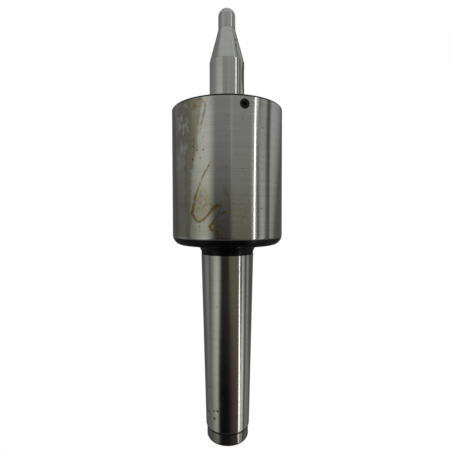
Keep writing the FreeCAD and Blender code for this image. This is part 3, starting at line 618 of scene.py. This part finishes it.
# The relief is where the surface lies on the wheel's own cylinder, on the wheel's side.
outward = hard.node_tree.nodes.new("ShaderNodeVectorMath")
outward.operation = "DOT_PRODUCT"
outward.inputs[1].default_value = relief_way
hard.node_tree.links.new(place, outward.inputs[0])
sideways = calculate(hard, "SUBTRACT", outward.outputs["Value"], wheel_off)
upright = calculate(hard, "SUBTRACT", level, wheel_level)
reach = calculate(hard, "ADD", calculate(hard, "MULTIPLY", sideways, sideways),
                  calculate(hard, "MULTIPLY", upright, upright))
reach = calculate(hard, "POWER", reach, 0.5)
relief = spread(hard, reach, (wheel_radius + 0.004) * MM, (wheel_radius + 0.012) * MM, 1, 0)
relief = calculate(hard, "MULTIPLY", relief, spread(hard, outward.outputs["Value"],
                                                    6.5 * MM, 6.6 * MM, 0, 1))
colour = lay_colour(hard, colour, relief, 0.75, (0.36, 0.325, 0.25))

# A fine dark line runs round where the nose meets the cone.
lines = band(hard, level, (nose_foot - 0.1) * MM, (nose_foot + 0.12) * MM, 0.06 * MM)
lines = calculate(hard, "MULTIPLY", lines,
                  spread(hard, cloudy(hard, place, 90, 1.0), 0.35, 0.6, 0.2, 1))
colour = lay_colour(hard, colour, lines, 0.85, (0.08, 0.08, 0.075))
pits = spots(hard, place, [(47.9, 100.8, 5.53, 0.75), (40.5, 98.1, 6.26, 0.7),
                           (-35, 115.05, 3.04, 0.55), (-12, 115.5, 2.61, 0.5),
                           (-58, 114.5, 3.41, 0.5), (-25, 114.3, 3.51, 0.35)])
colour = lay_colour(hard, colour, pits, 0.9, (0.12, 0.10, 0.08))
hard.node_tree.links.new(colour, shader.inputs["Base Color"])
dull = calculate(hard, "ADD", dull, calculate(hard, "MULTIPLY", relief, 0.15))
hard.node_tree.links.new(dull, shader.inputs["Roughness"])

# ---------------------------------------------------------------------------------------------
# Rolling elements: bearing balls and needle rollers, lapped bright and spaced evenly round the
# axis by their cages. Each set turns with its own cage, slower than the spindle.


def plain_finish(name, colour, metallic, roughness, grain, bump):
    """A finish with fine grain in its colour, its gloss and its surface."""
    material = bpy.data.materials.new(name)
    material.use_nodes = True
    nodes = material.node_tree.nodes
    links = material.node_tree.links
    shader = nodes["Principled BSDF"]
    shader.inputs["Metallic"].default_value = metallic
    place = nodes.new("ShaderNodeTexCoord").outputs["Object"]
    speckle = cloudy(material, place, grain)
    tone = nodes.new("ShaderNodeMix")
    tone.data_type = "RGBA"
    tone.inputs["A"].default_value = (*[c * 0.8 for c in colour], 1)
    tone.inputs["B"].default_value = (*[min(c * 1.2, 1) for c in colour], 1)
    links.new(speckle, tone.inputs["Factor"])
    links.new(tone.outputs["Result"], shader.inputs["Base Color"])
    links.new(spread(material, cloudy(material, place, grain / 6), 0.3, 0.7, roughness * 0.8,
                     roughness * 1.25), shader.inputs["Roughness"])
    relief = nodes.new("ShaderNodeBump")
    relief.inputs["Strength"].default_value = bump
    relief.inputs["Distance"].default_value = 0.01 * MM
    links.new(speckle, relief.inputs["Height"])
    links.new(relief.outputs["Normal"], shader.inputs["Normal"])
    return material


bright = plain_finish("bearing_steel", (0.66, 0.66, 0.66), metallic=1.0, roughness=0.14,
                      grain=900, bump=0.1)

spacing, spacing_sockets = new_tree("even_spacing", {
    "Count": "NodeSocketInt", "Pitch Radius": "NodeSocketFloat", "Level": "NodeSocketFloat",
    "Finish": "NodeSocketMaterial"})
nodes, links = spacing.nodes, spacing.links
entry = nodes.new("NodeGroupInput")
ring = nodes.new("GeometryNodeMeshCircle")
links.new(entry.outputs["Count"], ring.inputs["Vertices"])
links.new(entry.outputs["Pitch Radius"], ring.inputs["Radius"])
seat = nodes.new("GeometryNodeTransform")
seat.inputs["Rotation"].default_value = (0, 0, math.radians(-90))
links.new(ring.outputs["Mesh"], seat.inputs["Geometry"])
lift = nodes.new("ShaderNodeCombineXYZ")
links.new(entry.outputs["Level"], lift.inputs["Z"])
links.new(lift.outputs["Vector"], seat.inputs["Translation"])
copies = nodes.new("GeometryNodeInstanceOnPoints")
links.new(seat.outputs["Geometry"], copies.inputs["Points"])
links.new(entry.outputs["Geometry"], copies.inputs["Instance"])
real = nodes.new("GeometryNodeRealizeInstances")
links.new(copies.outputs["Instances"], real.inputs["Geometry"])
coat = nodes.new("GeometryNodeSetMaterial")
links.new(real.outputs["Geometry"], coat.inputs["Geometry"])
links.new(entry.outputs["Finish"], coat.inputs["Material"])
links.new(coat.outputs["Geometry"], nodes.new("NodeGroupOutput").inputs["Geometry"])

for node, body, pitch, count in (("front_bearing_balls", "front_ball_set", 14.25, 11),
                                 ("second_bearing_balls", "second_ball_set", 14.25, 11),
                                 ("thrust_balls", "thrust_ball_set", 10.75, 11),
                                 ("needle_rollers", "needle_set", 7.0, 14)):
    low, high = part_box(node)
    work = bmesh.new()
    if node == "needle_rollers":
        roller = -low.y - pitch * MM
        bmesh.ops.create_cone(work, cap_ends=True, segments=28, radius1=roller, radius2=roller,
                              depth=high.z - low.z)
    else:
        bmesh.ops.create_uvsphere(work, u_segments=40, v_segments=24,
                                  radius=(high.z - low.z) / 2)
    mesh = bpy.data.meshes.new(node)
    work.to_mesh(mesh)
    work.free()
    one = bpy.data.objects.new(node + "_set", mesh)
    scene.collection.objects.link(one)
    rolling = grow(one, spacing, spacing_sockets, {
        "Count": count, "Pitch Radius": pitch * MM, "Level": (low.z + high.z) / 2,
        "Finish": bright})
    settle(rolling, 25)
    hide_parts(node)
    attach(rolling, body)

# ---------------------------------------------------------------------------------------------
# Cap, nut, rings, cages and seal keep their machined shapes and take their finishes here:
# black oxide, bright bearing steel, brass, pressed steel and black rubber.

finishes = {
    "black_oxide": plain_finish("black_oxide", (0.02, 0.022, 0.028), metallic=0.3,
                                roughness=0.33, grain=1500, bump=0.3),
    "bearing_steel": bright,
    "cage_brass": plain_finish("cage_brass", (0.68, 0.47, 0.18), metallic=1.0,
                               roughness=0.32, grain=700, bump=0.3),
    "cage_steel": plain_finish("pressed_steel", (0.50, 0.50, 0.51), metallic=1.0,
                               roughness=0.3, grain=800, bump=0.2),
    "seal_rubber": plain_finish("seal_rubber", (0.018, 0.018, 0.018), metallic=0.0,
                                roughness=0.6, grain=2500, bump=0.4),
    "soft_brass": plain_finish("soft_brass", (0.66, 0.46, 0.18), metallic=1.0,
                               roughness=0.3, grain=900, bump=0.2),
}
slots = {item["node"]: item["material_slot"] for item in frame["record"]["subparts"]}
for node, piece in frame["nodes"].items():
    if slots[node] in finishes:
        piece.data.materials.clear()
        piece.data.materials.append(finishes[slots[node]])

# ---------------------------------------------------------------------------------------------
# Stage: a white sweep under and behind the object, and round it a ring of glowing screens that
# its ground steel mirrors. Each glows by its own amount at each height, and the ones in front,
# on the camera's side, are the darkest.

SCREEN_POWER = 2.0

screen_glow = bpy.data.materials.new("screen_glow")
screen_glow.use_nodes = True
nodes, links = screen_glow.node_tree.nodes, screen_glow.node_tree.links
nodes.remove(nodes["Principled BSDF"])
lamp = nodes.new("ShaderNodeEmission")
shine = nodes.new("ShaderNodeAttribute")
shine.attribute_name = "light"
links.new(shine.outputs["Color"], lamp.inputs["Color"])
fade = nodes.new("ShaderNodeMixShader")
links.new(spread(screen_glow, painted(screen_glow, "cover"), 0, 1, 0, 1, True),
          fade.inputs["Fac"])
links.new(nodes.new("ShaderNodeBsdfTransparent").outputs["BSDF"], fade.inputs[1])
links.new(lamp.outputs["Emission"], fade.inputs[2])
links.new(fade.outputs["Shader"], nodes["Material Output"].inputs["Surface"])


def curved(name, distance, rows):
    """A curved screen round the axis, in millimetres. Each row is (height, the azimuths where
    it begins, is full, is full and ends, its light)."""
    work = bmesh.new()
    light = work.verts.layers.float_color.new("light")
    cover = work.verts.layers.float.new("cover")
    lines = []
    for height, *turns, shone in rows:
        line = []
        shone = shone if isinstance(shone, tuple) else (shone,) * 3
        for start, finish, first, last in zip(turns, turns[1:], (0, 1, 1), (1, 1, 0)):
            for share in np.linspace(0, 1, 9):
                angle = math.radians(start + (finish - start) * share)
                point = work.verts.new((math.sin(angle) * distance * MM,
                                        -math.cos(angle) * distance * MM, height * MM))
                point[light] = (*[value * SCREEN_POWER for value in shone], 1)
                point[cover] = first + (last - first) * share
                line.append(point)
        lines.append(line)
    for lower, upper in zip(lines, lines[1:]):
        for k in range(len(lower) - 1):
            work.faces.new((lower[k], lower[k + 1], upper[k + 1], upper[k]))
    mesh = bpy.data.meshes.new(name)
    work.to_mesh(mesh)
    work.free()
    board = bpy.data.objects.new(name, mesh)
    scene.collection.objects.link(board)
    board.data.materials.append(screen_glow)
    board.visible_camera = False
    board.visible_shadow = False


# The broad bright light on the left
curved("window_left", 690, [
    (-800, -102, -62, -60, -46, 0.09), (-430, -102, -60, -57, -38, (0.225, 0.225, 0.212)),
    (-350, -98, -57, -52, -34, (0.240, 0.241, 0.226)),
    (-286, -94, -54, -49, -31, (0.250, 0.252, 0.235)), (-147, -86, -47, -44, -20, 0.280),
    (-60, -94, -47, -43, -22, (0.195, 0.197, 0.170)),
    (-20, -98, -47, -43, -22, (0.172, 0.176, 0.145)),
    (120, -100, -46, -40, -21, (0.250, 0.252, 0.228)), (245, -100, -45, -38, -21, 0.300),
    (350, -112, -44, -37, -20, 0.205), (560, -112, -44, -37, -20, 0.165),
    (900, -112, -44, -37, -20, 0.165)])
# The unlit room in front, in two greys with a pale seam between them
curved("dark_front", 715, [
    (-800, -75, -70, -4, 40, 0.0), (-430, -75, -70, -2, 50, (0.001, 0.0005, 0.002)),
    (-350, -75, -70, -2, 40, (0.009, 0.006, 0.006)),
    (-286, -75, -70, -1, 32, (0.014, 0.010, 0.009)),
    (-147, -75, -70, 0, 17, (0.014, 0.011, 0.009)),
    (-60, -75, -70, 1, 14, (0.012, 0.010, 0.007)), (0, -75, -70, 2, 13, (0.018, 0.016, 0.011)),
    (60, -75, -70, 2, 12, 0.052), (120, -75, -70, 3, 11, 0.086), (180, -75, -70, 3, 10, 0.108),
    (250, -75, -70, 3, 9, 0.122), (310, -75, -70, 3, 9, 0.130), (380, -75, -70, 3, 10, 0.132),
    (560, -75, -70, 3, 10, 0.162), (900, -75, -70, 3, 10, 0.162)])
curved("grey_front", 735, [
    (-800, -8, -6, 58, 62, (0.03, 0.02, 0.02)), (-430, -8, -6, 58, 62, (0.048, 0.033, 0.028)),
    (-286, -8, -6, 58, 62, (0.070, 0.055, 0.046)), (-147, -8, -6, 58, 62, (0.070, 0.062, 0.050)),
    (-20, -8, -6, 58, 62, (0.080, 0.076, 0.058)), (60, -8, -6, 58, 62, (0.105, 0.101, 0.088)),
    (120, -8, -6, 58, 62, 0.116), (180, -8, -6, 58, 62, 0.130), (250, -8, -6, 58, 62, 0.138),
    (350, -8, -6, 58, 62, 0.140), (560, -8, -6, 58, 62, 0.175),
    (900, -8, -6, 58, 62, 0.175)])
curved("seam_front", 705, [
    (90, 8, 8, 8, 8, 0.15), (160, 6.4, 7.6, 8.6, 9.8, 0.162), (250, 6, 7.6, 8.8, 10.4, 0.182),
    (400, 7, 9, 10.5, 12.5, 0.175), (900, 7, 9, 10.5, 12.5, 0.19)])
# A narrow bright lamp on the right, with the grey wall beside it
curved("shoulder", 720, [
    (-800, 52, 56, 62, 64, 0.05), (-430, 49, 55, 62, 64, 0.11), (-286, 48, 54, 62, 64, 0.11),
    (-147, 47, 52, 60, 62, 0.11), (-20, 46, 50, 59, 61, 0.165), (245, 46, 50, 60, 62, 0.190),
    (350, 56, 58, 66, 70, 0.10), (900, 56, 58, 66, 70, 0.15)])
curved("lamp_right", 650, [
    (-800, 61.4, 62.0, 65.6, 66.2, 0.9), (-430, 58.4, 59.0, 63.8, 64.4, 1.30),
    (-286, 55.0, 55.5, 60.2, 60.8, 1.30), (-147, 53.1, 53.5, 55.6, 56.0, 1.10),
    (-20, 52.6, 53.1, 55.3, 55.8, 1.40), (245, 54.9, 55.4, 57.5, 58.0, 1.45),
    (285, 55.4, 55.9, 58.1, 58.6, 1.45), (305, 58.0, 59.6, 64.8, 66.4, 0.80),
    (430, 58.2, 59.8, 65.0, 66.6, 0.78), (560, 60, 61, 65, 66, 0.60), (900, 60, 61, 65, 66, 0.5)])
# Dimmer walls further round on both sides
curved("panel_right", 700, [
    (-800, 62, 68, 78, 92, 0.20), (-430, 64, 67, 78, 90, 0.39), (-286, 66, 72, 77, 89, 0.33),
    (-147, 65, 70, 74, 84, 0.230), (-20, 63, 71, 75, 86, 0.205), (245, 60, 66, 80, 88, 0.170),
    (350, 74, 79, 85, 92, 0.175), (900, 74, 79, 85, 92, 0.185)])
curved("panel_far_right", 700, [
    (-800, 92, 100, 106, 140, 0.07), (-430, 94, 104, 110, 150, 0.125),
    (-286, 93, 98, 103, 130, 0.135), (-147, 92, 97, 99, 116, 0.165),
    (-20, 91, 94, 98, 112, 0.150), (245, 92, 99, 100, 158, (0.220, 0.228, 0.234)),
    (350, 94, 108, 116, 165, 0.170), (560, 94, 108, 116, 165, 0.18),
    (900, 94, 108, 116, 165, 0.18)])
curved("panel_far_left", 705, [
    (-800, -150, -112, -96, -84, 0.06), (-430, -135, -112, -98, -80, 0.085),
    (-286, -130, -104, -98, -83, 0.10), (-147, -135, -99, -95, -86, 0.135),
    (-20, -120, -110, -98, -80, 0.065), (120, -135, -112, -92, -76, 0.10),
    (245, -135, -112, -92, -74, 0.125),
    (350, -178, -130, -88, -75, 0.10), (900, -178, -130, -88, -75, 0.10)])

world = bpy.data.worlds.new("room")
world.use_nodes = True
world.node_tree.nodes["Background"].inputs["Color"].default_value = (0.105, 0.105, 0.100, 1)
scene.world = world

# Below the screens the room is dark, and above them it is pale.
for name, level, colour in (("dark_below", -800, (0.05, 0.052, 0.052, 1)),
                            ("pale_above", 900, (0.42, 0.43, 0.44, 1))):
    shade = bpy.data.materials.new(name)
    board = turn(name, [(0, level), (690, level)], 96, shade)
    shade.use_nodes = True
    nodes, links = shade.node_tree.nodes, shade.node_tree.links
    nodes.remove(nodes["Principled BSDF"])
    lamp = nodes.new("ShaderNodeEmission")
    lamp.inputs["Color"].default_value = colour
    links.new(lamp.outputs["Emission"], nodes["Material Output"].inputs["Surface"])
    board.visible_camera = False
    board.visible_shadow = False

floor_radius, paper_bend, paper_top = 1200, 300, 2500
paper = bpy.data.materials.new("white_paper")
sweep_outline = [(0, shank_low), (floor_radius, shank_low)]
sweep_outline += arc((floor_radius, shank_low + paper_bend), paper_bend, -90, 0, 16)[1:]
sweep_outline += [(floor_radius + paper_bend, paper_top), (0, paper_top)]
backdrop = turn("backdrop", sweep_outline, 96, paper)
backdrop.data.flip_normals()
paper.use_nodes = True
nodes, links = paper.node_tree.nodes, paper.node_tree.links
nodes.remove(nodes["Principled BSDF"])
lamp = nodes.new("ShaderNodeEmission")
links.new(lamp.outputs["Emission"], nodes["Material Output"].inputs["Surface"])
backdrop.visible_glossy = False
backdrop.visible_diffuse = False
backdrop.visible_shadow = False
